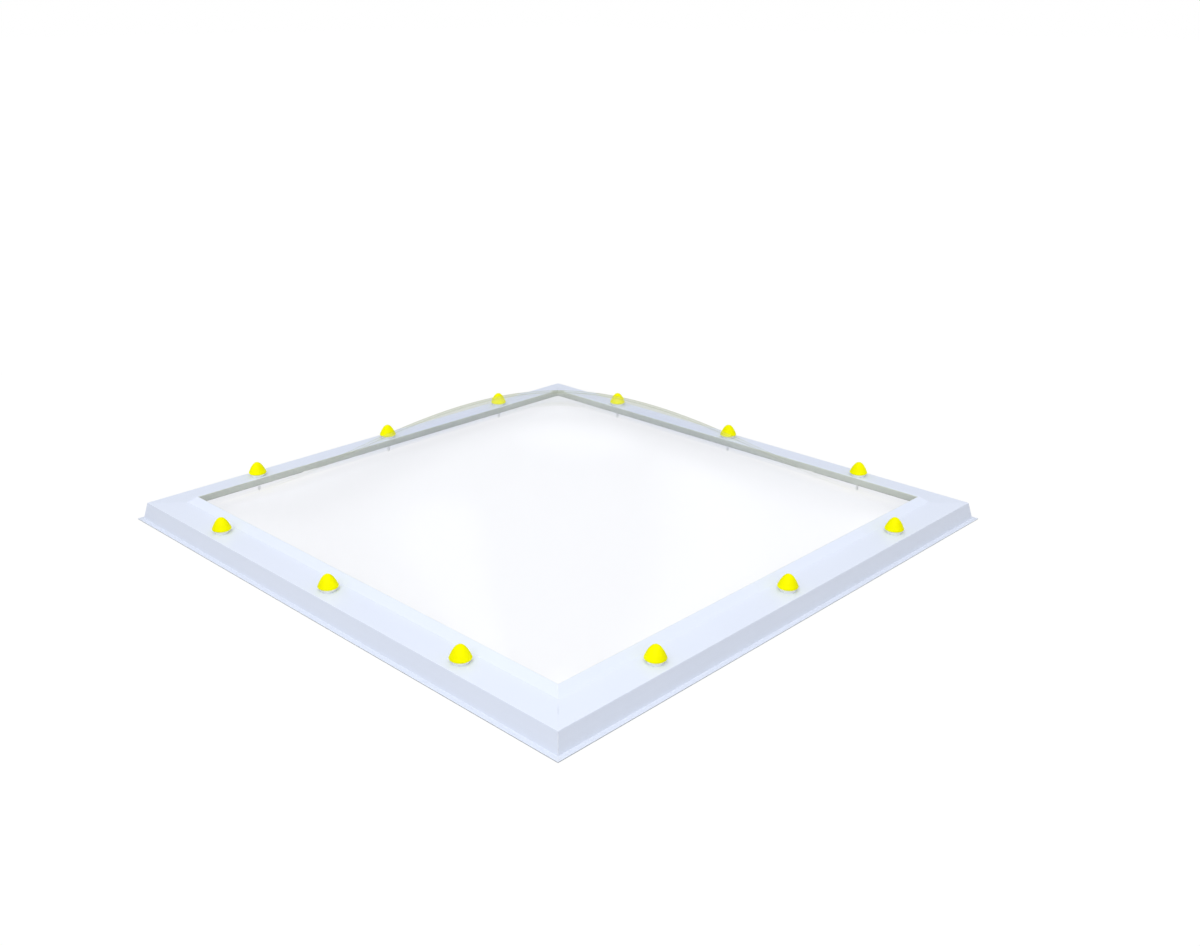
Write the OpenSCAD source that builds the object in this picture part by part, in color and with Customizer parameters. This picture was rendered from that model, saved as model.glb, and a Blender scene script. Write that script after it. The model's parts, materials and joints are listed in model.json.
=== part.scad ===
// Fixed dome skylight: a blown clear dome clamped to a roof kerb by a mitred capping frame.
// Z is up. The origin is the middle of the square frame, level with the underside of the drip lip.

/* [Capping frame] */
// Side of the frame along X, over the top edges of the rails
frame_w = 1000; // [700:10:1400]
// Side of the frame along Y, over the top edges of the rails
frame_l = 1000; // [700:10:1400]
// Wall of the rail extrusion
wall = 2.2; // [1.8:0.1:2.8]
// Height of the outer top edge above the underside of the drip lip
skirt_h = 31.3; // [28:0.1:40]
// How far the skirt leans out from its top to its foot
skirt_flare = 6.8; // [3:0.1:9]
// Width of the drip lip outside the foot of the skirt
lip_w = 7.4; // [4:0.1:12]
// Width of the top face, from the outer edge to the foot of the nose bevel
top_w = 48.5; // [47:0.5:60]
// Rise of the top face over its width
top_rise = 1.5; // [0.5:0.1:2.5]
// Width of the nose that stands round the dome
nose_w = 13.6; // [11:0.1:18]
// Height of the nose above the top face
nose_h = 10.6; // [9:0.1:16]
// Play between two rails at a mitre
mitre_gap = 0.2; // [0.1:0.1:0.6]

/* [Corner keys] */
// Width of a corner key
key_w = 9.7; // [6:0.1:10.2]
// Thickness of a corner key
key_t = 2.5; // [1.8:0.1:2.5]
// Length of each leg of a corner key, from the corner of its centre lines
key_leg = 60; // [40:5:120]
// Play between a key and its slot
key_play = 0.12; // [0.05:0.01:0.15]

/* [Seals] */
// Distance of the inner gasket's middle out from the foot of the bevel
gasket_set = 2.5; // [1:0.1:4]
// Distance of the outer gasket's middle from the outer top edge
outer_gasket_in = 12.5; // [11:0.1:16]
// Width of the pad that presses on the dome's flange
pad_w = 8.4; // [7:0.1:9]
// Thickness of that pad, clamped
pad_t = 1.8; // [1.2:0.1:2.6]
// Width of the head that holds a gasket in its slot
head_w = 4.6; // [4:0.1:5]
// Thickness of that head
head_t = 1; // [0.8:0.1:1.1]
// Width of the kerb seal
kerb_seal_w = 21.5; // [20:0.5:24]
// Thickness of the kerb seal, clamped
kerb_seal_t = 5; // [3:0.5:7]
// Thickness of the liner strip on the inner face of the nose
liner_t = 1.2; // [0.8:0.1:2]

/* [Dome] */
// Margin of the flange outside the outer gasket's pad
flange_margin = 0.8; // [0.5:0.1:3]
// Distance of the dome's foot in from the nose
foot_gap = 3.9; // [3:0.1:25]
// Height of the crown above the top of the flange
dome_h = 180; // [80:1:260]
// Fullness of the crown: a higher number draws it in, a lower one squares it out
crown_power = 0.93; // [0.8:0.01:1.1]
// Thickness of the flange
sheet_t = 4; // [3:0.5:6]
// Thickness of the sheet at the crown, where blowing has thinned it
crown_t = 3; // [2:0.5:3]
// Width over which the flange turns up into the dome
turn_w = 6; // [4:0.5:10]
// Radius of the holes that leave the sheet free to grow
flange_hole_r = 5; // [3.5:0.1:6]

/* [Fixings] */
// Distance of the screw line from the outer top edge
screw_in = 24.2; // [20:0.1:25.2]
// Screws along each rail
screws_per_rail = 3; // [2:1:5]
// Distance of each rail's end screws from its ends, along the outer top edge
end_screw_in = 204; // [60:1:300]
// Radius over the screw's thread, which runs in the kerb alone
thread_r = 2.4; // [2:0.1:2.7]
// Radius of the plain shank above the thread
shank_r = 2.1; // [1.6:0.1:2.7]
// Height of the screw's point above the underside of the drip lip
point_z = 1.6; // [0.5:0.1:6]
// Length of the point
point_len = 4; // [3:0.5:6]
// Radius of the flat on the tip of the point
tip_r = 0.3; // [0.1:0.1:0.6]
// Radius of the flange under the hexagon head
head_flange_r = 6; // [5:0.1:7]
// Width across the corners of the hexagon
hex_w = 9.2; // [8:0.1:10]
// Height of the hexagon
hex_h = 4; // [3:0.1:5]
// Thickness of the flange under the hexagon
head_flange_t = 1; // [0.8:0.1:1.4]
// Play round the thread in the rail, the cap base and the seals
thread_play = 0.35; // [0.2:0.05:0.6]
// Radius of the rubber washer
washer_r = 11; // [9:0.1:11.8]
// Thickness of the rubber washer at the screw line
washer_t = 1; // [0.8:0.1:2]

/* [Screw caps] */
// Radius of the cap at its widest
cap_r = 15.6; // [14:0.1:18]
// Height of the cap over its widest edge
cap_h = 18.8; // [16:0.1:26]
// Height of the cap's lower edge above the washer
cap_lift = 4.6; // [3:0.1:5]
// Wall of the cap
cap_wall = 1.8; // [1.2:0.1:2.4]
// Radius of the collar that the cap snaps on
collar_r = 12; // [11.5:0.1:12.5]
// Height of the collar
collar_h = 6.2; // [5.8:0.1:8]
// Wall of the collar
collar_wall = 3; // [2:0.1:4]
// Floor of the collar under the screw head
collar_floor = 1.6; // [1:0.1:2]
// Play between the cap and the collar
cap_play = 0.15; // [0.1:0.05:0.3]
// How far the cap's lower edge draws in below its widest
cap_tuck = 1.2; // [0.4:0.1:2]
// Height of that lower edge
cap_foot = 1.6; // [0.5:0.1:2.5]
// Depth and thickness of the shelf in the cap that rests on the collar
cap_shelf = 1.2; // [0.8:0.1:1.6]
// Roundness of the cap: a lower number fills it out towards its top
cap_power = 0.48; // [0.4:0.01:0.7]

/* [Hidden] */

// Colours
frame_colour = [0.90, 0.92, 0.98];
clear_colour = [0.82, 0.88, 0.90, 0.35];
rubber_colour = [0.86, 0.87, 0.89];
foam_colour = [0.94, 0.94, 0.95];
liner_colour = [0.62, 0.65, 0.64];
steel_colour = [0.72, 0.73, 0.75];
base_colour = [0.93, 0.94, 0.96];
cap_colour = [0.98, 0.97, 0.05];

// Rail section: i is the distance in from the outer top edge, z the height above the lip's underside
rim_in = top_w + nose_w;
top_slope = top_rise / top_w;
lean = skirt_flare / (skirt_h - wall);
skirt_t = wall * sqrt(1 + lean * lean);
bevel_slope = nose_h / nose_w;
bevel_drop = wall * sqrt(1 + bevel_slope * bevel_slope);
rim_z = skirt_h + top_rise + nose_h;
function top_z(i) = skirt_h + top_slope * i;
function under_z(i) = top_z(min(i, top_w)) - wall;
function skirt_i(z) = -lean * (skirt_h - z);

// Slots under the top face
rib_t = 1.2;
rib_gap = 1.2;
hook_w = 1.2;
hook_t = 1.2;
key_hook_t = 1.4;
key_clear = 0.3;
head_play = 0.1;
slot_w = head_w + 2 * head_play;
slot_foot = under_z(outer_gasket_in - slot_w / 2) - head_t - head_play - hook_t;
inner_gasket_in = top_w - gasket_set;
key_slot_w = key_w + 2 * key_play;
key_in = inner_gasket_in - slot_w / 2 - 2 * rib_t - rib_gap - key_slot_w / 2;
key_floor = under_z(key_in - key_slot_w / 2) - key_t - 2 * key_play;
key_slot_foot = key_floor - key_hook_t;

// Heights of what is clamped between the rail and the kerb
kerb_seal_margin = 0.5;
flange_top = min(slot_foot - pad_t, key_slot_foot - key_clear);
flange_foot = flange_top - sheet_t;
kerb_z = flange_foot - kerb_seal_t;
flange_in = outer_gasket_in - pad_w / 2 - flange_margin;
kerb_seal_in = flange_in + kerb_seal_margin;
foot_in = rim_in + foot_gap;
washer_top = top_z(screw_in) + washer_t;
collar_top = washer_top + collar_h;
head_z = washer_top + collar_floor;
hole_r = thread_r + thread_play;
cap_z = washer_top + cap_lift;

// Edge radii of the rail
lip_round = 0.8;
edge_round = 1;
rim_round = 0.6;
arc_steps = 3;

// How far a cutting shape runs past what it cuts
over = 1;

// Foot and top of the flat inner face of the nose, below the round of its rim
liner_foot = under_z(rim_in);
liner_top = rim_z - rim_round / tan((90 - atan(bevel_slope)) / 2);

side_names = ["front", "right", "back", "left"];

// Points of the round that replaces corner p between its neighbours a and b
function unit(v) = v / norm(v);
function turn(v, w) = atan2(v[0] * w[1] - v[1] * w[0], v * w);
function spin(v, a) = [v[0] * cos(a) - v[1] * sin(a), v[0] * sin(a) + v[1] * cos(a)];
function rounded(a, p, b, r) =
  let (
    u = unit(a - p),
    v = unit(b - p),
    half = acos(u * v) / 2,
    centre = p + unit(u + v) * r / sin(half),
    from = p + u * r / tan(half) - centre,
    to = p + v * r / tan(half) - centre
  )
  [for (k = [0:arc_steps]) centre + spin(from, turn(from, to) * k / arc_steps)];

// Outline of a hooked slot with its middle at c, its clear width w and its foot at height foot
function slot(c, w, foot, hook) = [
  [c + w / 2 + rib_t, under_z(c + w / 2 + rib_t)],
  [c + w / 2 + rib_t, foot],
  [c + w / 2 - hook_w, foot],
  [c + w / 2 - hook_w, foot + hook],
  [c + w / 2, foot + hook],
  [c + w / 2, under_z(c + w / 2)],
  [c - w / 2, under_z(c - w / 2)],
  [c - w / 2, foot + hook],
  [c - w / 2 + hook_w, foot + hook],
  [c - w / 2 + hook_w, foot],
  [c - w / 2 - rib_t, foot],
  [c - w / 2 - rib_t, under_z(c - w / 2 - rib_t)]
];

lip_tip = -skirt_flare - lip_w;
lip_low = [lip_tip, 0];
lip_high = [lip_tip, wall];
skirt_foot = [-skirt_flare, wall];
top_edge = [0, skirt_h];
bevel_foot = [top_w, top_z(top_w)];
rim = [rim_in, rim_z];
nose_low = [rim_in, under_z(rim_in)];
inner_foot = [skirt_i(0) + skirt_t, 0];
inner_top = [skirt_i(skirt_h - wall) + skirt_t, under_z(0)];

rail_outline = concat(
  rounded(inner_foot, lip_low, lip_high, lip_round),
  rounded(lip_low, lip_high, skirt_foot, lip_round),
  rounded(lip_high, skirt_foot, top_edge, edge_round),
  rounded(skirt_foot, top_edge, bevel_foot, edge_round),
  [bevel_foot],
  rounded(bevel_foot, rim, nose_low, rim_round),
  [nose_low],
  inner_gasket_in + slot_w / 2 + rib_t < top_w ? [[top_w, under_z(top_w)]] : [],
  slot(inner_gasket_in, slot_w, slot_foot, hook_t),
  slot(key_in, key_slot_w, key_slot_foot, key_hook_t),
  slot(outer_gasket_in, slot_w, slot_foot, hook_t),
  [inner_top, inner_foot]
);

chamber_z = top_z(top_w);
chamber_in = rim_in - wall;
chamber_out = top_w + bevel_drop / bevel_slope;
chamber_outline = [
  [chamber_out, chamber_z],
  [chamber_in, chamber_z],
  [chamber_in, chamber_z + (chamber_in - chamber_out) * bevel_slope]
];

// Sides are numbered from the front, the way the clock runs backwards seen from above
function side_len(k) = k % 2 == 0 ? frame_w : frame_l;
function side_off(k) = k % 2 == 0 ? frame_l / 2 : frame_w / 2;

// Puts a side's own frame in place: x along the rail, y in from the outer top edge
module on_side(k) {
  rotate([0, 0, 90 * k])
    translate([0, -side_off(k), 0])
      children();
}

module at_screws(k) {
  on_side(k)
    for (s = [0:screws_per_rail - 1])
      translate([(s / (screws_per_rail - 1) - 0.5) * (side_len(k) - 2 * end_screw_in), screw_in, 0])
        children();
}

module all_screws() {
  for (k = [0:3])
    at_screws(k)
      children();
}

// The plan of one mitred side, a little wider than the rail's own section
module mitre_plan(k, gap) {
  half = side_len(k) / 2 - gap / sqrt(2);
  near = lip_tip - over;
  far = rim_in + liner_t + over;
  polygon([
    [-half + near, near],
    [half - near, near],
    [half - far, far],
    [-half + far, far]
  ]);
}

// Extrudes a section along side k and cuts both ends to the mitre
module mitred(k, gap) {
  spare = over - lip_tip;
  on_side(k)
    intersection() {
      translate([-side_len(k) / 2 - spare, 0, 0])
        rotate([90, 0, 90])
          linear_extrude(side_len(k) + 2 * spare)
            children();
      translate([0, 0, -over])
        linear_extrude(rim_z + 2 * over)
          mitre_plan(k, gap);
    }
}

module rail(k) {
  color(frame_colour)
    difference() {
      mitred(k, mitre_gap)
        difference() {
          polygon(rail_outline);
          polygon(chamber_outline);
        }
      at_screws(k)
        cylinder(r = hole_r, h = rim_z, $fn = 32);
    }
}

// Flat L-shaped key, its legs in the slots of side k and of the next side
module corner_key(k) {
  near = key_in - key_w / 2;
  far = key_in + key_w / 2;
  nip = key_w / 4;
  tip = key_in + key_leg;
  color(steel_colour)
    on_side(k)
      translate([side_len(k) / 2, 0, key_floor + key_play])
        linear_extrude(key_t)
          polygon([
            [-near, near],
            [-near, tip - nip],
            [-near - nip, tip],
            [-far + nip, tip],
            [-far, tip - nip],
            [-far, far],
            [-tip + nip, far],
            [-tip, far - nip],
            [-tip, near + nip],
            [-tip + nip, near]
          ]);
}

// Rubber strip with a head that fills the slot and a pad that bears on the flange
module gasket(k, c) {
  neck = slot_w - 2 * (hook_w + head_play);
  head_foot = slot_foot + hook_t;
  nip = pad_t / 4;
  color(rubber_colour)
    mitred(k, mitre_gap)
      polygon([
        [c - pad_w / 2 + nip, flange_top],
        [c + pad_w / 2 - nip, flange_top],
        [c + pad_w / 2, flange_top + nip],
        [c + pad_w / 2, slot_foot - nip],
        [c + pad_w / 2 - nip, slot_foot],
        [c + neck / 2, slot_foot],
        [c + neck / 2, head_foot],
        [c + head_w / 2, head_foot],
        [c + head_w / 2 - nip, head_foot + head_t],
        [c - head_w / 2 + nip, head_foot + head_t],
        [c - head_w / 2, head_foot],
        [c - neck / 2, head_foot],
        [c - neck / 2, slot_foot],
        [c - pad_w / 2 + nip, slot_foot],
        [c - pad_w / 2, slot_foot - nip],
        [c - pad_w / 2, flange_top + nip]
      ]);
}

module kerb_seal(k) {
  color(foam_colour)
    difference() {
      mitred(k, mitre_gap)
        translate([kerb_seal_in, kerb_z])
          square([kerb_seal_w, kerb_seal_t]);
      at_screws(k)
        cylinder(r = hole_r, h = rim_z, $fn = 32);
    }
}

// Soft strip stuck on the inner face of the nose, with its free edges eased
module nose_liner(k) {
  nip = liner_t / 3;
  color(liner_colour)
    mitred(k, mitre_gap)
      polygon([
        [rim_in, liner_foot],
        [rim_in + liner_t - nip, liner_foot],
        [rim_in + liner_t, liner_foot + nip],
        [rim_in + liner_t, liner_top - nip],
        [rim_in + liner_t - nip, liner_top],
        [rim_in, liner_top]
      ]);
}

// Height of the blown sheet: flat flange, a short turn, then a crown that falls away to its corners
dome_cells = 32;
function lift(s, e) = s < -e ? 0 : s > e ? s : (s + e) * (s + e) / (4 * e);
function climb(s, e) = s < -e ? 0 : s > e ? 1 : (s + e) / (2 * e);
function stations(half) =
  let (a = half - foot_in)
  concat(
    [-half + flange_in, -a - turn_w],
    [for (k = [0:dome_cells]) a * sin(180 * k / dome_cells - 90)],
    [a + turn_w, half - flange_in]
  );
function sheet(x, y, side) =
  let (
    a = frame_w / 2 - foot_in,
    b = frame_l / 2 - foot_in,
    ea = 2 * turn_w / a,
    eb = 2 * turn_w / b,
    u = 1 - pow(x / a, 2),
    v = 1 - pow(y / b, 2),
    fx = lift(u, ea),
    fy = lift(v, eb),
    z = dome_h * pow(fx * fy, crown_power),
    steep = fx * fy > 0 ? 2 * crown_power * z : 0,
    zx = steep == 0 ? 0 : steep * climb(u, ea) / fx * x / (a * a),
    zy = steep == 0 ? 0 : steep * climb(v, eb) / fy * y / (b * b),
    t = sheet_t - (sheet_t - crown_t) * z / dome_h
  )
  [x, y, flange_top + z - side * t * sqrt(1 + zx * zx + zy * zy)];

// Two triangles of a grid cell, split so that the mesh is the same in all four quarters
function cell(a, b, c, d, odd) = odd ? [[a, b, d], [b, c, d]] : [[a, b, c], [a, c, d]];

module sheet_solid() {
  xs = stations(frame_w / 2);
  ys = stations(frame_l / 2);
  n = len(xs);
  m = len(ys);
  under = n * m;
  top_faces = [for (i = [0:n - 2], j = [0:m - 2])
    each cell(
      i * m + j, i * m + j + 1, (i + 1) * m + j + 1, (i + 1) * m + j,
      (i < (n - 1) / 2) != (j < (m - 1) / 2)
    )];
  low_faces = [for (f = top_faces) [f[2] + under, f[1] + under, f[0] + under]];
  ends = [for (i = [0:n - 2]) each [
    each cell(i * m + under, i * m, (i + 1) * m, (i + 1) * m + under, false),
    each cell((i + 2) * m - 1 + under, (i + 2) * m - 1, (i + 1) * m - 1, (i + 1) * m - 1 + under, false)
  ]];
  sides = [for (j = [0:m - 2]) each [
    each cell(j + 1 + under, j + 1, j, j + under, false),
    each cell(
      (n - 1) * m + j + under, (n - 1) * m + j, (n - 1) * m + j + 1, (n - 1) * m + j + 1 + under, false
    )
  ]];
  polyhedron(
    points = [for (side = [0, 1], x = xs, y = ys) sheet(x, y, side)],
    faces = concat(top_faces, low_faces, ends, sides)
  );
}

module dome() {
  color(clear_colour)
    difference() {
      sheet_solid();
      all_screws()
        cylinder(r = flange_hole_r, h = rim_z, $fn = 32);
    }
}

// Rubber washer whose foot lies on the sloping top face
module sealing_washers() {
  under = top_rise + over;
  color(rubber_colour)
    for (k = [0:3])
      difference() {
        at_screws(k)
          translate([0, 0, skirt_h])
            difference() {
              cylinder(r = washer_r, h = washer_top - skirt_h, $fn = 48);
              translate([0, 0, -over])
                cylinder(r = hole_r, h = rim_z, $fn = 32);
            }
        on_side(k)
          translate([0, 0, skirt_h])
            rotate([atan(top_slope), 0, 0])
              translate([-side_len(k) / 2, 0, -under])
                cube([side_len(k), rim_in, under]);
      }
}

// Cup that sits under the screw head and carries the cap on its collar
module cap_base() {
  nip = collar_floor / 3;
  translate([0, 0, washer_top])
    rotate_extrude($fn = 48)
      polygon([
        [hole_r, 0],
        [collar_r - nip, 0],
        [collar_r, nip],
        [collar_r, collar_h],
        [collar_r - collar_wall, collar_h],
        [collar_r - collar_wall, collar_floor],
        [hole_r, collar_floor]
      ]);
}

module cap_bases() {
  color(base_colour)
    all_screws()
      cap_base();
}

// Hexagon head, plain shank through the frame, thread from the kerb down and a point
module fixing_screw() {
  thread_foot = point_z + point_len;
  translate([0, 0, head_z]) {
    cylinder(r = head_flange_r, h = head_flange_t, $fn = 48);
    cylinder(r = hex_w / 2, h = head_flange_t + hex_h, $fn = 6);
  }
  translate([0, 0, kerb_z])
    cylinder(r = shank_r, h = head_z - kerb_z + head_flange_t / 2, $fn = 48);
  translate([0, 0, thread_foot])
    cylinder(r = thread_r, h = kerb_z - thread_foot, $fn = 48);
  translate([0, 0, point_z])
    cylinder(r1 = tip_r, r2 = thread_r, h = point_len, $fn = 48);
}

module fixing_screws() {
  color(steel_colour)
    all_screws()
      fixing_screw();
}

// Skin of the cap at height t from 0 to 1, set back by its wall d
cap_steps = 14;
cap_ease = 1.6;
function cap_height(k) = 1 - pow(1 - k / cap_steps, cap_ease);
function cap_skin(t, d) =
  t == 1 ? [0, cap_foot + cap_h - d] :
  let (
    r = cap_r * pow(1 - t, cap_power),
    out = unit([cap_h, cap_power * r / (1 - t)])
  )
  [r, cap_foot + t * cap_h] - d * out;

// Rounded cone with a turned-in foot, hollow above the shelf that rests on the collar
module screw_cap() {
  mouth_r = collar_r + cap_play;
  shelf_r = collar_r - cap_shelf;
  shelf_z = collar_top - cap_z;
  hollow_z = shelf_z + cap_shelf;
  hollow = [
    for (k = [cap_steps:-1:0])
      let (p = cap_skin(cap_height(k), cap_wall))
      if (p[1] > hollow_z) p
  ];
  translate([0, 0, cap_z])
    rotate_extrude($fn = 48)
      polygon(concat(
        [[mouth_r, 0], [cap_r - cap_tuck, 0]],
        [for (k = [0:cap_steps]) cap_skin(cap_height(k), 0)],
        hollow,
        [[hollow[len(hollow) - 1][0], hollow_z], [shelf_r, hollow_z], [shelf_r, shelf_z], [mouth_r, shelf_z]]
      ));
}

module screw_caps() {
  color(cap_colour)
    all_screws()
      screw_cap();
}

for (k = [0:3]) {
  next = side_names[(k + 1) % 4];
  key_name = k == 0 ? "front_right" : k == 1 ? "back_right" : k == 2 ? "back_left" : "front_left";
  rail(k);
  corner_key(k);
  gasket(k, inner_gasket_in);
  gasket(k, outer_gasket_in);
  kerb_seal(k);
  nose_liner(k);
}
dome();
sealing_washers();
cap_bases();
fixing_screws();
screw_caps();
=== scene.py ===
# Domed roof skylight: finishes, the blown sheet, the screws and their caps, studio and camera
import json
import math

import bpy
from mathutils import Matrix, Vector


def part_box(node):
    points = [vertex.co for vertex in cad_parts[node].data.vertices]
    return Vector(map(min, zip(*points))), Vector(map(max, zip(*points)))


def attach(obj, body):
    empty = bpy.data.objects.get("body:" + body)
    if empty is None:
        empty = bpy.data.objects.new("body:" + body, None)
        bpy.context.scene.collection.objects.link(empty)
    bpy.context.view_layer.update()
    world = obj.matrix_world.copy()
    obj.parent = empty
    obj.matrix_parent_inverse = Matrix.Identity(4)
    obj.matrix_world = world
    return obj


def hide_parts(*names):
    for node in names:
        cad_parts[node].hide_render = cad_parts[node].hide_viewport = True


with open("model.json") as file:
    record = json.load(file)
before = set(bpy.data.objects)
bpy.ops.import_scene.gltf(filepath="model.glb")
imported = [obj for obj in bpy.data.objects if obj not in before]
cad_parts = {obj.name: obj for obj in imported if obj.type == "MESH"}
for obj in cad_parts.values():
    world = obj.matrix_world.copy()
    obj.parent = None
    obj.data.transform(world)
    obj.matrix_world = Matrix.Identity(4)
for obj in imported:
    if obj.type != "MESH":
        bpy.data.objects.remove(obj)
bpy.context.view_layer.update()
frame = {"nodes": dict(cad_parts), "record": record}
nodes = frame["nodes"]
print("frame loaded:", len(nodes), "nodes")

seedSize = 0.001  # side of a plane whose corners are at once merged or moved, in metres
weldDistance = 1e-6  # vertices this close, in metres, become one


def deselectAll():
    if bpy.context.object and bpy.context.object.mode != "OBJECT":
        bpy.ops.object.mode_set(mode="OBJECT")
    bpy.ops.object.select_all(action="DESELECT")


def only(obj):
    deselectAll()
    obj.select_set(True)
    bpy.context.view_layer.objects.active = obj


def freeze(obj):
    # place, turn and scale go into the mesh, the object stays at the origin
    only(obj)
    bpy.ops.object.transform_apply(location=True, rotation=True, scale=True)


def applyModifiers(obj):
    only(obj)
    for modifier in list(obj.modifiers):
        bpy.ops.object.modifier_apply(modifier=modifier.name)


def outwardNormals(obj):
    only(obj)
    bpy.ops.object.mode_set(mode="EDIT")
    bpy.ops.mesh.select_all(action="SELECT")
    bpy.ops.mesh.remove_doubles(threshold=weldDistance)
    bpy.ops.mesh.normals_make_consistent(inside=False)
    bpy.ops.object.mode_set(mode="OBJECT")


def smoothByAngle(obj, degrees):
    only(obj)
    bpy.ops.object.shade_smooth_by_angle(angle=math.radians(degrees))


def joined(name, parts):
    deselectAll()
    for part in parts:
        part.select_set(True)
    bpy.context.view_layer.objects.active = parts[0]
    bpy.ops.object.join()
    obj = bpy.context.object
    obj.name = obj.data.name = name
    return obj


def lathe(name, points, steps):
    # one vertex is extruded along the half section, then spun round the Z axis
    deselectAll()
    bpy.ops.mesh.primitive_plane_add(size=seedSize, location=(0, 0, 0))
    obj = bpy.context.object
    obj.name = obj.data.name = name
    bpy.ops.object.mode_set(mode="EDIT")
    bpy.ops.mesh.select_mode(type="VERT")
    bpy.ops.mesh.select_all(action="SELECT")
    bpy.ops.mesh.merge(type="CENTER")
    here = Vector((0, 0, 0))
    for index, (radius, height) in enumerate(points):
        step = Vector((radius, 0, height)) - here
        here = here + step
        if index == 0:
            bpy.ops.transform.translate(value=step)
        else:
            bpy.ops.mesh.extrude_region_move(TRANSFORM_OT_translate={"value": step})
    bpy.ops.mesh.select_all(action="SELECT")
    bpy.ops.mesh.spin(steps=steps, angle=2 * math.pi, center=(0, 0, 0), axis=(0, 0, 1))
    bpy.ops.object.mode_set(mode="OBJECT")
    outwardNormals(obj)
    return obj


def copyTo(obj, name, x, y, z, turn):
    # a copy with its own mesh, moved and turned in the mesh
    twin = obj.copy()
    twin.data = obj.data.copy()
    twin.name = twin.data.name = name
    bpy.context.scene.collection.objects.link(twin)
    twin.data.transform(Matrix.Translation((x, y, z)) @ Matrix.Rotation(turn, 4, "Z"))
    return twin


def paint(obj, material):
    obj.data.materials.clear()
    obj.data.materials.append(material)


def finishPiece(obj, slot, *replaced):
    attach(obj, "root")
    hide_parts(*replaced)


# Nodes: each value is a number, a colour or the socket that gives it

def addNode(tree, kind, values=None, **settings):
    node = tree.nodes.new(kind)
    for key, value in settings.items():
        setattr(node, key, value)
    for key, value in (values or {}).items():
        if isinstance(value, bpy.types.NodeSocket):
            tree.links.new(value, node.inputs[key])
        else:
            node.inputs[key].default_value = value
    return node


def calc(tree, operation, first, second):
    return addNode(tree, "ShaderNodeMath", {0: first, 1: second}, operation=operation).outputs[0]


def vectorCalc(tree, operation, *vectors):
    return addNode(tree, "ShaderNodeVectorMath", dict(enumerate(vectors)), operation=operation)


def ranged(tree, value, fromMin, fromMax, toMin=0.0, toMax=1.0, smooth=False):
    node = addNode(tree, "ShaderNodeMapRange", {
        "Value": value, "From Min": fromMin, "From Max": fromMax, "To Min": toMin, "To Max": toMax})
    if smooth:
        node.interpolation_type = "SMOOTHSTEP"
    return node.outputs[0]


def noise(tree, place, scale, detail, roughness):
    return addNode(tree, "ShaderNodeTexNoise", {
        "Vector": place, "Scale": scale, "Detail": detail, "Roughness": roughness}).outputs["Fac"]


def mixColour(tree, share, first, second):
    node = addNode(tree, "ShaderNodeMix", {"Factor": share, "A": first, "B": second}, data_type="RGBA")
    return node.outputs[2]  # the Mix node's third result is its colour


def rgba(colour):
    return (colour[0], colour[1], colour[2], 1.0)


# Shared effects, each a node group that all the opaque finishes use

def newGroup(name, inputs, outputs):
    # a finish gives every input its own value or link
    group = bpy.data.node_groups.new(name, "ShaderNodeTree")
    for label, kind in inputs.items():
        group.interface.new_socket(name=label, in_out="INPUT", socket_type="NodeSocket" + kind)
    for label, kind in outputs.items():
        group.interface.new_socket(name=label, in_out="OUTPUT", socket_type="NodeSocket" + kind)
    start = group.nodes.new("NodeGroupInput")
    end = group.nodes.new("NodeGroupOutput")
    return group, start.outputs, end.inputs


speckleNoise = {
    "coarseDetail": 2.0, "coarseRoughness": 0.5,
    "fineScale": 4.3, "fineDetail": 1.0, "fineRoughness": 0.4,  # fineScale is times the coarse scale
    "maskLow": 0.35, "maskHigh": 0.65,
}


def buildSpeckle(look):
    # two octaves of noise: a height for bumps and a mask for gloss
    group, given, result = newGroup(
        "speckle",
        {"Vector": "Vector", "Scale": "Float", "Stretch": "Vector", "Fine": "Float"},
        {"Height": "Float", "Mask": "Float"},
    )
    place = vectorCalc(group, "MULTIPLY", given["Vector"], given["Stretch"]).outputs[0]
    coarse = noise(group, place, given["Scale"], look["coarseDetail"], look["coarseRoughness"])
    finer = calc(group, "MULTIPLY", given["Scale"], look["fineScale"])
    fine = noise(group, place, finer, look["fineDetail"], look["fineRoughness"])
    height = addNode(group, "ShaderNodeMix", {"Factor": given["Fine"], "A": coarse, "B": fine},
                     data_type="FLOAT").outputs[0]
    mask = ranged(group, height, look["maskLow"], look["maskHigh"], smooth=True)
    group.links.new(height, result["Height"])
    group.links.new(mask, result["Mask"])
    return group


driftNoise = {"detail": 5.0, "roughness": 0.6, "maskLow": 0.36, "maskHigh": 0.66}


def buildDrift(look):
    # slow change of tone over a surface
    group, given, result = newGroup(
        "drift",
        {"Vector": "Vector", "Colour": "Color", "Other": "Color", "Scale": "Float", "Amount": "Float"},
        {"Colour": "Color"},
    )
    cloud = noise(group, given["Vector"], given["Scale"], look["detail"], look["roughness"])
    mask = ranged(group, cloud, look["maskLow"], look["maskHigh"], smooth=True)
    share = calc(group, "MULTIPLY", mask, given["Amount"])
    group.links.new(mixColour(group, share, given["Colour"], given["Other"]), result["Colour"])
    return group


speckle = buildSpeckle(speckleNoise)
drift = buildDrift(driftNoise)


def startMaterial(name):
    material = bpy.data.materials.new(name)
    material.use_nodes = True
    tree = material.node_tree
    tree.nodes.clear()
    output = tree.nodes.new("ShaderNodeOutputMaterial")
    coords = tree.nodes.new("ShaderNodeTexCoord")
    return material, tree, output.inputs["Surface"], coords.outputs["Object"]


def heightOf(tree, place):
    return addNode(tree, "ShaderNodeSeparateXYZ", {0: place}).outputs["Z"]


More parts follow.
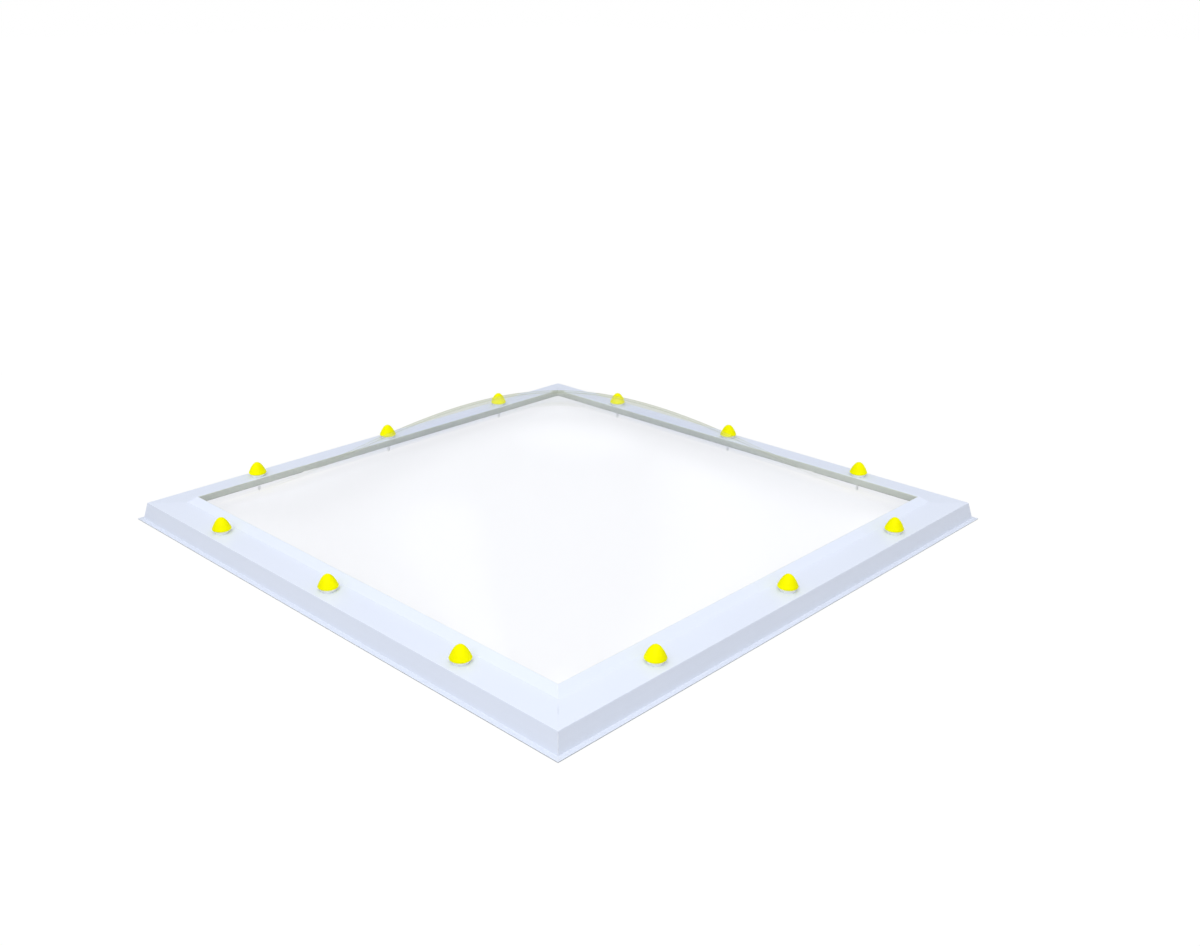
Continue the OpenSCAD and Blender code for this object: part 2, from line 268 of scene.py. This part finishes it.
def paintShadeAtFoot(tree, place, colour, look):
    # painted shade: the skirt darker towards its foot, and a grey line of painted shade along the lowest
    # edge
    height = heightOf(tree, place)
    footShadeShare = ranged(tree, height, look["footShadeTop"], look["footShadeFoot"], toMax=look["footShadeAmount"])
    above = calc(tree, "GREATER_THAN", height, look["footShadeFoot"])
    footShaded = mixColour(tree, calc(tree, "MULTIPLY", footShadeShare, above), colour, rgba(look["footShadeColour"]))
    edgeShadeShare = ranged(tree, height, look["edgeShadeTop"], look["edgeShadeFoot"], smooth=True)
    return mixColour(tree, edgeShadeShare, footShaded, rgba(look["edgeShadeColour"]))


evenGrain = (1, 1, 1)  # the grain isn't drawn out along any axis
plainSpecular = 0.5


def solidFinish(name, look):
    # opaque finishes differ only in the values of their dictionary, and the frame's adds painted shade at
    # its foot
    material, tree, surface, place = startMaterial(name)
    grain = addNode(tree, "ShaderNodeGroup", {
        "Vector": place, "Scale": look["grainScale"], "Stretch": look.get("grainStretch", evenGrain),
        "Fine": look["grainFine"]}, node_tree=speckle)
    tone = addNode(tree, "ShaderNodeGroup", {
        "Vector": place, "Colour": rgba(look["colour"]), "Other": rgba(look["toneColour"]),
        "Scale": look["toneScale"], "Amount": look["toneAmount"]}, node_tree=drift)
    colour = tone.outputs["Colour"]
    # the frame's paint gets painted shade at its foot
    if "edgeShadeColour" in look:
        colour = paintShadeAtFoot(tree, place, colour, look)
    smoothest = look["roughness"] - look["roughnessSpread"]
    roughest = look["roughness"] + look["roughnessSpread"]
    gloss = ranged(tree, grain.outputs["Mask"], 0.0, 1.0, smoothest, roughest)
    bump = addNode(tree, "ShaderNodeBump", {
        "Height": grain.outputs["Height"],
        "Strength": look["bumpStrength"], "Distance": look["bumpDepth"]})
    shader = addNode(tree, "ShaderNodeBsdfPrincipled", {
        "Base Color": colour, "Roughness": gloss, "Normal": bump.outputs["Normal"],
        "Metallic": look.get("metallic", 0.0), "Specular IOR Level": look.get("specular", plainSpecular),
    })
    tree.links.new(shader.outputs["BSDF"], surface)
    return material


def dress(prefix, material):
    # gives every CAD node whose name starts with prefix this finish
    for name, obj in nodes.items():
        if name.startswith(prefix):
            paint(obj, material)


# Opaque finishes. Scales are in cells a metre. Depths of bumps, and the heights between which the painted
# shade on the lip's edge and on the skirt's foot fades, are in metres
powderCoat = {
    "colour": (0.800, 0.855, 0.983), "toneColour": (0.785, 0.842, 0.975),
    "toneScale": 5.0, "toneAmount": 0.7,
    "grainScale": 620.0, "grainFine": 0.3, "roughness": 0.42, "roughnessSpread": 0.05,
    "bumpStrength": 0.25, "bumpDepth": 0.00012, "specular": 0.3,
    # painted shade: a grey line along the lip's lowest edge
    "edgeShadeTop": 0.0017, "edgeShadeFoot": 0.0012, "edgeShadeColour": (0.38, 0.41, 0.45),
    # painted shade: the skirt darker towards its foot
    "footShadeTop": 0.017, "footShadeFoot": 0.0021, "footShadeAmount": 0.55, "footShadeColour": (0.70, 0.75, 0.85),
}
keySheet = {
    "colour": (0.66, 0.67, 0.69), "toneColour": (0.56, 0.57, 0.59), "toneScale": 40.0, "toneAmount": 0.6,
    "grainScale": 260.0, "grainStretch": (1, 12, 1), "grainFine": 0.5,
    "roughness": 0.38, "roughnessSpread": 0.1,
    "bumpStrength": 0.2, "bumpDepth": 0.0001, "metallic": 1.0,
}
paleRubber = {
    "colour": (0.80, 0.82, 0.86), "toneColour": (0.76, 0.78, 0.82), "toneScale": 60.0, "toneAmount": 0.6,
    "grainScale": 1500.0, "grainFine": 0.4, "roughness": 0.7, "roughnessSpread": 0.08,
    "bumpStrength": 0.35, "bumpDepth": 0.0001, "specular": 0.3,
}
washerRubber = {
    "colour": (0.90, 0.92, 0.97), "toneColour": (0.87, 0.89, 0.95), "toneScale": 90.0, "toneAmount": 0.6,
    "grainScale": 1600.0, "grainFine": 0.4, "roughness": 0.66, "roughnessSpread": 0.08,
    "bumpStrength": 0.3, "bumpDepth": 0.0001, "specular": 0.3,
}
greyRubber = {
    "colour": (0.725, 0.77, 0.71), "toneColour": (0.695, 0.74, 0.69), "toneScale": 30.0, "toneAmount": 0.6,
    "grainScale": 1300.0, "grainFine": 0.4, "roughness": 0.65, "roughnessSpread": 0.08,
    "bumpStrength": 0.3, "bumpDepth": 0.0001, "specular": 0.3,
}
closedFoam = {
    "colour": (0.86, 0.86, 0.87), "toneColour": (0.80, 0.80, 0.82), "toneScale": 90.0, "toneAmount": 0.7,
    "grainScale": 900.0, "grainFine": 0.55, "roughness": 0.88, "roughnessSpread": 0.08,
    "bumpStrength": 0.7, "bumpDepth": 0.0004, "specular": 0.2,
}
paleMoulding = {
    "colour": (0.92, 0.94, 0.985), "toneColour": (0.90, 0.92, 0.97), "toneScale": 70.0, "toneAmount": 0.5,
    "grainScale": 1800.0, "grainFine": 0.3, "roughness": 0.5, "roughnessSpread": 0.06,
    "bumpStrength": 0.2, "bumpDepth": 0.00006, "specular": 0.4,
}
capMoulding = {
    "colour": (0.985, 0.975, 0.0), "toneColour": (0.965, 0.94, 0.0), "toneScale": 55.0, "toneAmount": 0.6,
    "grainScale": 1700.0, "grainFine": 0.3, "roughness": 0.46, "roughnessSpread": 0.06,
    "bumpStrength": 0.2, "bumpDepth": 0.00005, "specular": 0.03,
}
zincPlate = {
    "colour": (0.94, 0.95, 0.96), "toneColour": (0.92, 0.92, 0.89), "toneScale": 130.0, "toneAmount": 0.6,
    "grainScale": 2200.0, "grainFine": 0.5, "roughness": 0.16, "roughnessSpread": 0.05,
    "bumpStrength": 0.1, "bumpDepth": 0.00004, "metallic": 1.0,
}

dress("rail_", solidFinish("framePaint", powderCoat))
dress("corner_key_", solidFinish("keyMetal", keySheet))
rubberFinish = solidFinish("gasketRubber", paleRubber)
for gasketName in ("inner_gasket_", "outer_gasket_"):
    dress(gasketName, rubberFinish)
dress("sealing_washers", solidFinish("washerRubber", washerRubber))
dress("nose_liner_", solidFinish("linerRubber", greyRubber))
dress("kerb_seal_", solidFinish("sealFoam", closedFoam))
dress("cap_bases", solidFinish("basePlastic", paleMoulding))
capFinish = solidFinish("capPlastic", capMoulding)
screwFinish = solidFinish("screwSteel", zincPlate)
print("finishes: opaque ones built and laid on the frame's nodes")


# The sheet is clear seen square on and takes on colour where it is seen edge on. Tints and gloss go by
# facing, from 0 seen square on to 1 seen edge on, and edgeLow and edgeHigh are heights in metres
clearSheet = {
    "facingBlend": 0.5,
    "tints": [
        (0.30, (0.925, 0.933, 0.960)), (0.68, (0.908, 0.920, 0.952)), (0.80, (0.970, 0.978, 0.992)),
        (0.865, (0.970, 0.976, 0.982)), (0.885, (0.950, 0.955, 0.945)), (0.995, (0.930, 0.937, 0.915)),
    ],
    "edgeColour": (0.78, 0.80, 0.69), "edgeStart": 0.915, "edgeEnd": 0.965,
    "edgeLow": 0.055, "edgeHigh": 0.085,
    "shadowColour": (0.955, 0.958, 0.965), "bending": 1.0001, "gloss": 1.49, "glossRoughness": 0.15,
    "glossFadeStart": 0.48, "glossFadeEnd": 0.65, "glossFull": 1.0, "glossLeft": 0.06,
    "rippleScale": 7.0, "rippleDetail": 1.0, "rippleRoughness": 0.5,
    "rippleStrength": 0.2, "rippleDepth": 0.0008,
}


def sheetFinish(look):
    material, tree, surface, place = startMaterial("clearSheet")
    facing = addNode(tree, "ShaderNodeLayerWeight", {"Blend": look["facingBlend"]}).outputs["Facing"]
    tint = addNode(tree, "ShaderNodeValToRGB", {"Fac": facing})
    stops = tint.color_ramp.elements
    stops[0].position, stops[1].position = look["tints"][0][0], look["tints"][-1][0]
    for position, _ in look["tints"][1:-1]:
        stops.new(position)
    for stop, (_, colour) in zip(stops, look["tints"]):
        stop.color = rgba(colour)
    # the very outline takes a deeper tint, though not at the foot of the blown part
    blown = ranged(tree, heightOf(tree, place), look["edgeLow"], look["edgeHigh"])
    edge = ranged(tree, facing, look["edgeStart"], look["edgeEnd"])
    edgeShare = calc(tree, "MULTIPLY", blown, edge)
    skin = mixColour(tree, edgeShare, tint.outputs["Color"], rgba(look["edgeColour"]))
    ripple = noise(tree, place, look["rippleScale"], look["rippleDetail"], look["rippleRoughness"])
    bump = addNode(tree, "ShaderNodeBump", {
        "Height": ripple, "Strength": look["rippleStrength"], "Distance": look["rippleDepth"]})
    # nearly straight through, with the gloss of the sheet as a coat that is held back near its outline
    coat = ranged(tree, facing, look["glossFadeStart"], look["glossFadeEnd"],
                  look["glossFull"], look["glossLeft"])
    glass = addNode(tree, "ShaderNodeBsdfPrincipled", {
        "Base Color": skin, "Roughness": 0.0, "IOR": look["bending"], "Transmission Weight": 1.0,
        "Coat Weight": coat, "Coat IOR": look["gloss"], "Coat Roughness": look["glossRoughness"],
        "Coat Normal": bump.outputs["Normal"],
    })
    path = addNode(tree, "ShaderNodeLightPath")
    passing = addNode(tree, "ShaderNodeBsdfTransparent", {"Color": rgba(look["shadowColour"])})
    whole = addNode(tree, "ShaderNodeMixShader", {
        0: path.outputs["Is Shadow Ray"], 1: glass.outputs[0], 2: passing.outputs[0]})
    tree.links.new(whole.outputs[0], surface)
    return material


halvedMillimetres = 2000  # divides a width in millimetres into metres each side of the middle


def screwPlaces():
    # the record's bolt patterns say where the screws stand
    places = []
    for mount in frame["record"]["mounts"]:
        dims = mount["dims"]
        if mount["name"].startswith("end_screws"):
            acrossX = dims["spacing_x_mm"] / halvedMillimetres
            acrossY = dims["spacing_y_mm"] / halvedMillimetres
            places += [(sx * acrossX, sy * acrossY) for sx in (-1, 1) for sy in (-1, 1)]
        elif mount["name"] == "middle_screws":
            reach = dims["pcd_mm"] / halvedMillimetres
            places += [(reach, 0), (-reach, 0), (0, reach), (0, -reach)]
    return places


fixingPlaces = screwPlaces()


# Sizes of the blown sheet that its node's box doesn't give, in metres unless it says degrees
sheetShape = {
    "flange": 0.004, "crown": 0.003, "footIn": 0.0585, "fullness": 0.93, "turn": 0.006,
    "turnsInside": 3,  # turn widths from the foot inwards to where the wide middle cells start
    "middleCells": 116, "turnCells": 9, "flangeCells": 5,
    "holeRadius": 0.005, "holeSides": 32, "drillFlanges": 6,  # flange thicknesses in the drill's length
    "smoothDegrees": 40,
}


def eased(value, width):
    # zero, then a parabola, then the value itself
    if value <= -width:
        return 0.0
    return value if value >= width else (value + width) ** 2 / (4 * width)


def spaced(start, stop, cells):
    return [start + (stop - start) * k / cells for k in range(1, cells + 1)]


def buildSheet(shape):
    low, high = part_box("dome")
    outer = high.x
    foot = outer - shape["footIn"]
    flangeTop = low.z + shape["flange"]
    rise = high.z - flangeTop
    easeWidth = 2 * shape["turn"] / foot
    turnIn = foot - shape["turnsInside"] * shape["turn"]
    turnOut = foot + shape["turn"]
    stations = [-outer] + spaced(-outer, -turnOut, shape["flangeCells"])
    stations += spaced(-turnOut, -turnIn, shape["turnCells"])
    stations += spaced(-turnIn, turnIn, shape["middleCells"])
    stations += spaced(turnIn, turnOut, shape["turnCells"])
    stations += spaced(turnOut, outer, shape["flangeCells"])
    cells = len(stations) - 1
    deselectAll()
    bpy.ops.mesh.primitive_grid_add(x_subdivisions=cells, y_subdivisions=cells, size=2 * outer)
    obj = bpy.context.object
    obj.name = obj.data.name = "blown_sheet"
    # each row slides to its station, then lifts to the height of the blown skin
    thin = obj.vertex_groups.new(name="wall")
    for vertex in obj.data.vertices:
        x = stations[round((vertex.co.x + outer) / (2 * outer) * cells)]
        y = stations[round((vertex.co.y + outer) / (2 * outer) * cells)]
        archX = eased(1 - (x / foot) ** 2, easeWidth)
        archY = eased(1 - (y / foot) ** 2, easeWidth)
        lift = (archX * archY) ** shape["fullness"]
        vertex.co = (x, y, flangeTop + rise * lift)
        thin.add([vertex.index], 1 + (shape["crown"] / shape["flange"] - 1) * lift, "REPLACE")
    wall = obj.modifiers.new("wall", "SOLIDIFY")
    wall.thickness = shape["flange"]
    wall.offset = -1  # the wall goes inwards from the skin
    wall.use_even_offset = True
    wall.vertex_group = "wall"
    applyModifiers(obj)
    obj.vertex_groups.clear()
    # holes for the screws, a little larger than the shanks so that the sheet can grow
    drills = []
    for x, y in fixingPlaces:
        deselectAll()
        bpy.ops.mesh.primitive_cylinder_add(
            vertices=shape["holeSides"], radius=shape["holeRadius"],
            depth=shape["drillFlanges"] * shape["flange"], location=(x, y, low.z + shape["flange"] / 2))
        drills.append(bpy.context.object)
    drill = joined("flangeDrill", drills)
    cut = obj.modifiers.new("holes", "BOOLEAN")
    cut.operation = "DIFFERENCE"
    cut.solver = "EXACT"
    cut.object = drill
    applyModifiers(obj)
    bpy.data.objects.remove(drill)
    smoothByAngle(obj, shape["smoothDegrees"])
    paint(obj, sheetFinish(clearSheet))
    finishPiece(obj, "clear_sheet", "dome")
    return obj


sheet = buildSheet(sheetShape)
print("blown sheet:", len(sheet.data.polygons), "faces")


# Section of a screw cap, in metres from its lower edge, and in radians unless it says degrees
capShape = {
    "radius": 0.0156, "height": 0.0188, "foot": 0.0016, "tuck": 0.0012, "roundness": 0.48, "wall": 0.0018,
    "mouth": 0.01215, "shelfRadius": 0.0108, "shelfFoot": 0.0016, "shelfTop": 0.0028,
    "edgeAngles": (0.0, 0.4, 0.8, 1.2),
    "gateRadius": 0.0011, "gateDepth": 0.00025,
    "gateClear": 1.4, "gateRim": 1.2, "gateRimDrop": 0.00002,  # clear and rim are times the gate's radius
    "skinSteps": 30, "stepEase": 2.2,  # a higher ease packs the steps closer to the top
    "turns": 72, "turnEach": 0.7,  # steps round the cap, and how far each cap is turned past the last
    "smoothDegrees": 35,
}


def buildCap(shape):
    def skin(t, inset):
        if t >= 1:
            return (0.0, shape["foot"] + shape["height"] - inset)
        radius = shape["radius"] * (1 - t) ** shape["roundness"]
        out = Vector((shape["height"], shape["roundness"] * radius / (1 - t))).normalized()
        return (radius - inset * out.x, shape["foot"] + t * shape["height"] - inset * out.y)

    count = shape["skinSteps"]
    steps = [1 - (1 - k / count) ** shape["stepEase"] for k in range(count + 1)]
    outside = [skin(t, 0) for t in steps]
    inside = [p for p in (skin(t, shape["wall"]) for t in reversed(steps)) if p[1] > shape["shelfTop"]]
    # rounded lower edge, then the skin up to a small sunk gate mark
    tuck = shape["tuck"]
    edge = [(shape["radius"] - tuck * (1 - math.sin(a)), shape["foot"] * (1 - math.cos(a)))
            for a in shape["edgeAngles"]]
    gateRadius = shape["gateRadius"]
    crown = [p for p in outside if p[0] > gateRadius * shape["gateClear"]]
    top = outside[-1][1]
    gate = [(gateRadius * shape["gateRim"], top - shape["gateRimDrop"]),
            (gateRadius, top - shape["gateDepth"]), (0.0, top - shape["gateDepth"])]
    low = [(inside[-1][0], shape["shelfTop"]), (shape["shelfRadius"], shape["shelfTop"]),
           (shape["shelfRadius"], shape["shelfFoot"]), (shape["mouth"], shape["shelfFoot"]),
           (shape["mouth"], 0.0), (shape["radius"] - tuck, 0.0)]
    cap = lathe("capPattern", edge + crown + gate + inside + low, shape["turns"])
    smoothByAngle(cap, shape["smoothDegrees"])
    paint(cap, capFinish)
    return cap


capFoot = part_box("screw_caps")[0].z
capPattern = buildCap(capShape)
for number, (x, y) in enumerate(fixingPlaces, 1):
    cap = copyTo(capPattern, f"screw_cap_{number}", x, y, capFoot, number * capShape["turnEach"])
    finishPiece(cap, "cap_plastic", "screw_caps")
bpy.data.objects.remove(capPattern)
print("screw caps:", len(fixingPlaces))


# Hexagon screw with a washer face, a plain shank and a thread, in metres, and in radians unless it says
# degrees. The stack is what a screw clamps, from under its head to the top of the kerb
screwShape = {
    "flangeRadius": 0.006, "flange": 0.001, "flangeBevel": 0.0002,
    "hexCorners": 0.0092, "hex": 0.004, "hexBevel": 0.0004, "hexBevelSegments": 2,
    "shankRadius": 0.0021, "coreRadius": 0.0017, "stack": 0.018388,
    "threadRadius": 0.0024, "pitch": 0.0021, "ridge": 0.00045, "threadSteps": 28,
    "rootShare": 0.85, "startShare": 0.4,  # of the core's radius, and of the point's length
    "crestPart": 5,  # how many times thinner the ridge is at its crest
    "point": 0.004, "tip": 0.0003, "turns": 40, "turnEach": 1.1, "smoothDegrees": 35,
}


def buildThread(shape, low, threadTop):
    # a thin ridge wound round the core by a screw modifier, and drawn in along the point
    root = shape["coreRadius"] * shape["rootShare"]
    start = low.z + shape["point"] * shape["startShare"]
    foot = shape["ridge"]
    crest = foot / shape["crestPart"]
    tipRadius, fullRadius = shape["tip"], shape["threadRadius"]
    deselectAll()
    bpy.ops.mesh.primitive_plane_add(size=seedSize)
    ridge = bpy.context.object
    corners = [(root, -foot), (fullRadius, -crest), (root, foot), (fullRadius, crest)]
    for vertex, (radius, height) in zip(ridge.data.vertices, corners):
        vertex.co = (radius, 0, start + height)
    bpy.ops.object.mode_set(mode="EDIT")
    bpy.ops.mesh.select_all(action="SELECT")
    bpy.ops.mesh.delete(type="ONLY_FACE")
    bpy.ops.object.mode_set(mode="OBJECT")
    wind = ridge.modifiers.new("wind", "SCREW")
    wind.screw_offset = shape["pitch"]
    wind.iterations = int((threadTop - start) / shape["pitch"])
    wind.steps = wind.render_steps = shape["threadSteps"]
    applyModifiers(ridge)
    # the two ends are still open
    bpy.ops.object.mode_set(mode="EDIT")
    bpy.ops.mesh.select_all(action="SELECT")
    bpy.ops.mesh.fill_holes(sides=len(corners))
    bpy.ops.object.mode_set(mode="OBJECT")
    outwardNormals(ridge)
    for vertex in ridge.data.vertices:
        along = (vertex.co.z - low.z) / shape["point"]
        if along < 1:
            narrow = (tipRadius + (fullRadius - tipRadius) * max(along, 0)) / fullRadius
            vertex.co.x *= narrow
            vertex.co.y *= narrow
    return ridge


def buildScrew(shape):
    low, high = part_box("fixing_screws")
    headFoot = high.z - shape["flange"] - shape["hex"]
    threadTop = headFoot - shape["stack"]
    flangeTop = headFoot + shape["flange"]
    flangeRadius, flangeBevel = shape["flangeRadius"], shape["flangeBevel"]
    hexRadius = shape["hexCorners"] / 2
    sunk = shape["flange"] / 2
    washerFace = lathe("washerFace", [
        (0.0, headFoot), (flangeRadius - flangeBevel, headFoot), (flangeRadius, headFoot + flangeBevel),
        (flangeRadius, headFoot + sunk), (hexRadius, flangeTop), (0.0, flangeTop)], shape["turns"])
    deselectAll()
    bpy.ops.mesh.primitive_cylinder_add(
        vertices=6, radius=hexRadius, depth=shape["hex"] + sunk,
        location=(0, 0, high.z - (shape["hex"] + sunk) / 2))
    hexagon = bpy.context.object
    freeze(hexagon)
    bevel = hexagon.modifiers.new("turned", "BEVEL")
    bevel.width = shape["hexBevel"]
    bevel.segments = shape["hexBevelSegments"]
    bevel.limit_method = "ANGLE"
    applyModifiers(hexagon)
    body = lathe("screwBody", [
        (0.0, headFoot + sunk), (shape["shankRadius"], headFoot + sunk), (shape["shankRadius"], threadTop),
        (shape["coreRadius"], threadTop - shape["ridge"]), (shape["coreRadius"], low.z + shape["point"]),
        (shape["tip"], low.z), (0.0, low.z)], shape["turns"])
    thread = buildThread(shape, low, threadTop)
    screw = joined("screwPattern", [washerFace, hexagon, body, thread])
    smoothByAngle(screw, shape["smoothDegrees"])
    paint(screw, screwFinish)
    return screw


screwPattern = buildScrew(screwShape)
for number, (x, y) in enumerate(fixingPlaces, 1):
    screw = copyTo(screwPattern, f"fixing_screw_{number}", x, y, 0.0, number * screwShape["turnEach"])
    finishPiece(screw, "screw_steel", "fixing_screws")
bpy.data.objects.remove(screwPattern)
print("fixing screws:", len(fixingPlaces))


# Floor, world and key lamp, in metres and watts
studio = {
    "floorSize": 60.0, "floorColour": 0.37, "seenColour": 0.99, "glow": 1.012,
    "matShare": 0.07, "matEdge": 0.8, "matEnd": 1.6,  # matt share of the floor, and where it fades out
    "beyond": 0.515, "beyondColour": (0.71, 0.732, 0.69),  # seen through the sheet, outside the frame
    "worldColour": (0.985, 0.99, 1.0), "worldStrength": 0.66,
    "glossLow": 0.10, "glossHigh": 0.95,  # what gloss sees near the horizon and overhead
    "glossLowZ": 0.42, "glossHighZ": 0.66,  # sines of the elevations between which it changes
    "keyFrom": (0.34, -0.52, 0.785), "keyDistance": 6.0, "keySize": 4.8, "keyPower": 185.0,
}
white = (1.0, 1.0, 1.0, 1.0)
firstMattSurface = 0.5  # a ray's diffuse depth is below this until a matt surface scatters it


def lookAlong(direction):
    return Vector(direction).to_track_quat("-Z", "Y").to_euler()


def seenRays(tree, path, *kinds):
    # one for these kinds of ray as long as no matt surface has scattered them
    seen = path.outputs[kinds[0]]
    for kind in kinds[1:]:
        seen = calc(tree, "MAXIMUM", seen, path.outputs[kind])
    fresh = calc(tree, "LESS_THAN", path.outputs["Diffuse Depth"], firstMattSurface)
    return calc(tree, "MULTIPLY", seen, fresh)


def buildFloor():
    # matt close round the object, so that its shadow stays, and plain white further out
    deselectAll()
    bpy.ops.mesh.primitive_plane_add(size=studio["floorSize"], location=(0, 0, 0))
    floor = bpy.context.object
    floor.name = "studio_floor"
    material, tree, surface, place = startMaterial("studioFloor")
    path = addNode(tree, "ShaderNodeLightPath")
    seen = seenRays(tree, path, "Is Camera Ray", "Is Glossy Ray", "Is Transmission Ray")
    tone = ranged(tree, seen, 0.0, 1.0, studio["floorColour"], studio["seenColour"])
    reach = vectorCalc(tree, "LENGTH", place).outputs["Value"]
    glowing = ranged(tree, reach, studio["matEdge"], studio["matEnd"], 1 - studio["matShare"], smooth=True)
    share = calc(tree, "MULTIPLY", seen, glowing)
    matt = addNode(tree, "ShaderNodeBsdfDiffuse", {"Color": tone})
    # beyond the frame, what the blown sheet shows of the floor is less white
    spot = vectorCalc(tree, "ABSOLUTE", place).outputs[0]
    axes = addNode(tree, "ShaderNodeSeparateXYZ", {0: spot})
    furthest = calc(tree, "MAXIMUM", axes.outputs["X"], axes.outputs["Y"])
    outside = calc(tree, "GREATER_THAN", furthest, studio["beyond"])
    through = calc(tree, "MULTIPLY", outside, path.outputs["Is Transmission Ray"])
    colour = mixColour(tree, through, white, rgba(studio["beyondColour"]))
    glow = addNode(tree, "ShaderNodeEmission", {"Color": colour, "Strength": studio["glow"]})
    mix = addNode(tree, "ShaderNodeMixShader", {0: share, 1: matt.outputs[0], 2: glow.outputs[0]})
    tree.links.new(mix.outputs[0], surface)
    paint(floor, material)


# Soft boxes seen in gloss. In degrees: azimuth of the middle from the camera's direction, to its right,
# elevation, and how far from the middle the box starts to fade and is gone
softBoxes = [
    {"azimuth": -58, "elevation": 51, "inner": 4, "outer": 13, "level": 0.7},
    {"azimuth": 5, "elevation": 41, "inner": 5, "outer": 16, "level": 0.55},
    {"azimuth": 60, "elevation": 24, "inner": 16, "outer": 36, "level": 0.9},
]


def boxDirection(box):
    ahead = Vector((-1, 1, 0)).normalized()
    right = Vector((1, 1, 0)).normalized()
    turn = math.radians(box["azimuth"])
    lift = math.radians(box["elevation"])
    flat = ahead * math.cos(turn) + right * math.sin(turn)
    return flat * math.cos(lift) + Vector((0, 0, math.sin(lift)))


def buildWorld():
    # one level lights the surfaces, one is seen behind them, and gloss sees a dark horizon and soft boxes
    world = bpy.data.worlds.new("studioWorld")
    bpy.context.scene.world = world
    world.use_nodes = True
    tree = world.node_tree
    tree.nodes.clear()
    output = tree.nodes.new("ShaderNodeOutputWorld")
    path = addNode(tree, "ShaderNodeLightPath")
    outwards = addNode(tree, "ShaderNodeTexCoord").outputs["Generated"]  # in a world, the ray's direction
    level = ranged(tree, heightOf(tree, outwards), studio["glossLowZ"], studio["glossHighZ"],
                   studio["glossLow"], studio["glossHigh"], smooth=True)
    for box in softBoxes:
        near = vectorCalc(tree, "DOT_PRODUCT", outwards, boxDirection(box)).outputs["Value"]
        fadeEnd, fadeStart = (math.cos(math.radians(box[edge])) for edge in ("outer", "inner"))
        spot = ranged(tree, near, fadeEnd, fadeStart, toMax=box["level"], smooth=True)
        level = calc(tree, "ADD", level, spot)
    worldColour = rgba(studio["worldColour"])
    soft = addNode(tree, "ShaderNodeBackground", {
        "Color": worldColour, "Strength": studio["worldStrength"]})
    gloss = addNode(tree, "ShaderNodeBackground", {"Color": worldColour, "Strength": level})
    plain = addNode(tree, "ShaderNodeBackground", {"Color": white, "Strength": 1.0})
    lit = addNode(tree, "ShaderNodeMixShader", {
        0: path.outputs["Is Glossy Ray"], 1: soft.outputs[0], 2: gloss.outputs[0]})
    behind = seenRays(tree, path, "Is Camera Ray", "Is Transmission Ray")
    mix = addNode(tree, "ShaderNodeMixShader", {0: behind, 1: lit.outputs[0], 2: plain.outputs[0]})
    tree.links.new(mix.outputs[0], output.inputs["Surface"])


def buildKey():
    direction = Vector(studio["keyFrom"]).normalized()
    deselectAll()
    bpy.ops.object.light_add(
        type="AREA", location=direction * studio["keyDistance"], rotation=lookAlong(-direction))
    lamp = bpy.context.object
    lamp.name = "keyLamp"
    lamp.data.shape = "RECTANGLE"
    lamp.data.size = lamp.data.size_y = studio["keySize"]
    lamp.data.energy = studio["keyPower"]


buildFloor()
buildWorld()
buildKey()
bpy.context.scene.view_settings.view_transform = "Standard"
print("studio: floor, world and key lamp")


# The camera looks along the frame's diagonal from the front right corner. Its place is in metres, its
# pitch in degrees, the focal length and axis in the photo's pixels, and the sensor in millimetres
view = {
    "distance": 1.9481, "height": 0.837, "pitch": 21.08, "focalPixels": 1223.7,
    "imageWidth": 1200, "imageHeight": 946, "axisX": 558.0, "axisY": 473.0, "sensor": 36.0,
    "clipEnd": 200,
}


def buildCamera():
    side = view["distance"] / math.sqrt(2)
    pitch = math.radians(view["pitch"])
    ahead = Vector((-math.cos(pitch) / math.sqrt(2), math.cos(pitch) / math.sqrt(2), -math.sin(pitch)))
    deselectAll()
    bpy.ops.object.camera_add(location=(side, -side, view["height"]), rotation=lookAlong(ahead))
    camera = bpy.context.object
    camera.name = "photoCamera"
    camera.data.sensor_width = view["sensor"]
    camera.data.lens = view["focalPixels"] / view["imageWidth"] * view["sensor"]
    camera.data.shift_x = (view["imageWidth"] / 2 - view["axisX"]) / view["imageWidth"]
    camera.data.shift_y = (view["axisY"] - view["imageHeight"] / 2) / view["imageWidth"]
    camera.data.clip_end = view["clipEnd"]
    bpy.context.scene.camera = camera


buildCamera()
